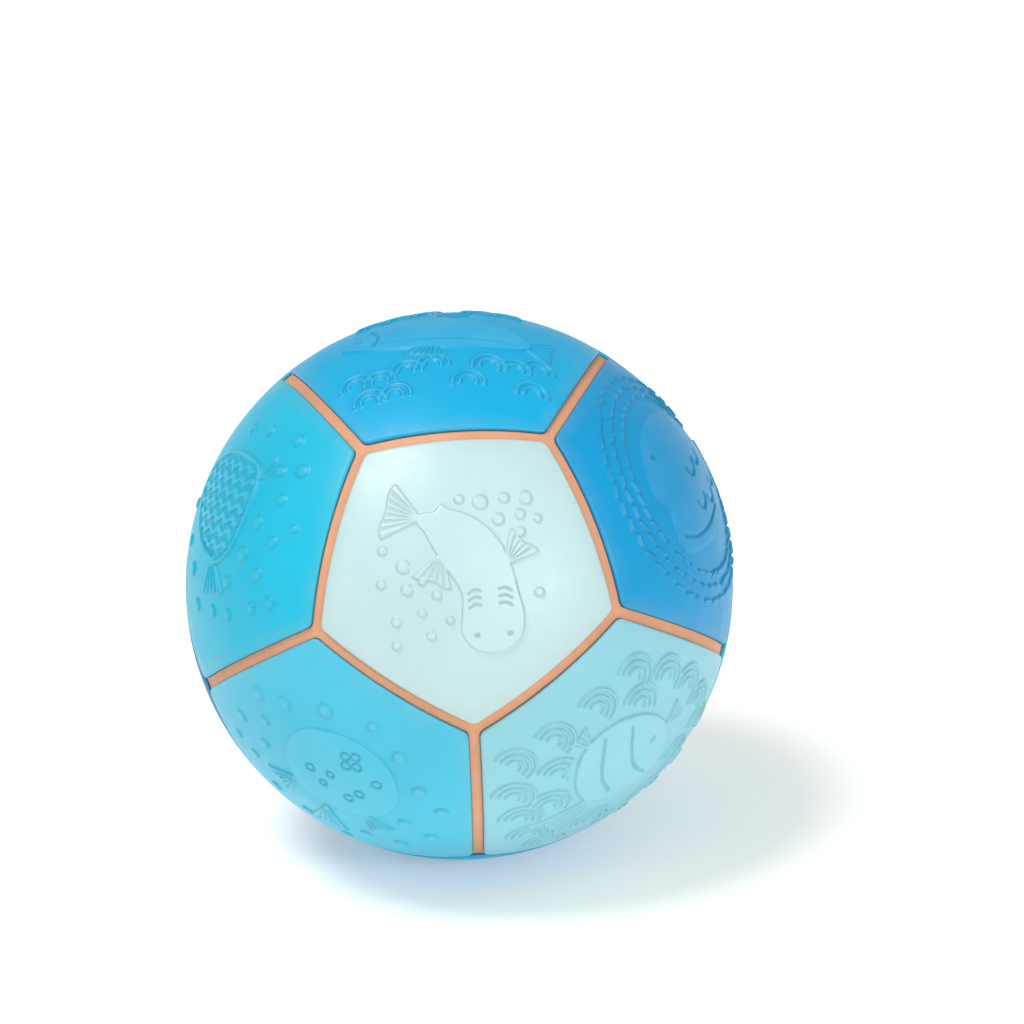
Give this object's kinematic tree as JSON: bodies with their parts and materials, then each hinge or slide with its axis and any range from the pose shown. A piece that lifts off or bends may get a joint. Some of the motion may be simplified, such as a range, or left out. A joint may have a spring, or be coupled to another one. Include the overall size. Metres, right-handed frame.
{
  "type": "juggling ball",
  "caption": "Moulded juggling ball: pentagonal rubber panels with raised sea figures on a hollow two-part core, part filled with loose grain.",
  "frame": {"origin": "centre of the ball", "axes": "+Z through the middle of the top panel, -Y towards the panel that faces the viewer, the middle of the bottom panel on -Z"},
  "size_m": [0.0694, 0.0694, 0.07],
  "materials": {
    "rubber_mid_blue": "satin",
    "rubber_pale_aqua": "satin",
    "rubber_bright_cyan": "satin",
    "rubber_deep_blue": "satin",
    "rubber_sky_cyan": "satin",
    "rubber_light_aqua": "satin",
    "core_orange": "matte",
    "grain": "matte",
    "plug_blue": "satin"
  },
  "bodies": {
    "ball": {"panel_top": "rubber_mid_blue", "panel_front": "rubber_pale_aqua", "panel_left": "rubber_bright_cyan", "panel_right": "rubber_deep_blue", "panel_low_left": "rubber_sky_cyan", "panel_low_right": "rubber_light_aqua", "panel_back_left": "rubber_sky_cyan", "panel_back_right": "rubber_mid_blue", "panel_low_far_left": "rubber_deep_blue", "panel_low_far_right": "rubber_bright_cyan", "panel_low_back": "rubber_pale_aqua", "panel_bottom": "rubber_mid_blue", "core_upper": "core_orange", "core_lower": "core_orange"},
    "grain": {"grain_filling": "grain"},
    "plug": {"filling_plug": "plug_blue"}
  },
  "joints": [
    {"name": "grain_roll", "type": "hinge", "parent": "ball", "child": "grain", "pos_m": [0, 0, 0], "axis": [1, 0, 0], "continuous": true},
    {"name": "plug_pull", "type": "slide", "parent": "ball", "child": "plug", "axis": [0.5257, 0.7236, 0.4472], "range_m": [0, 0.008]}
  ]
}
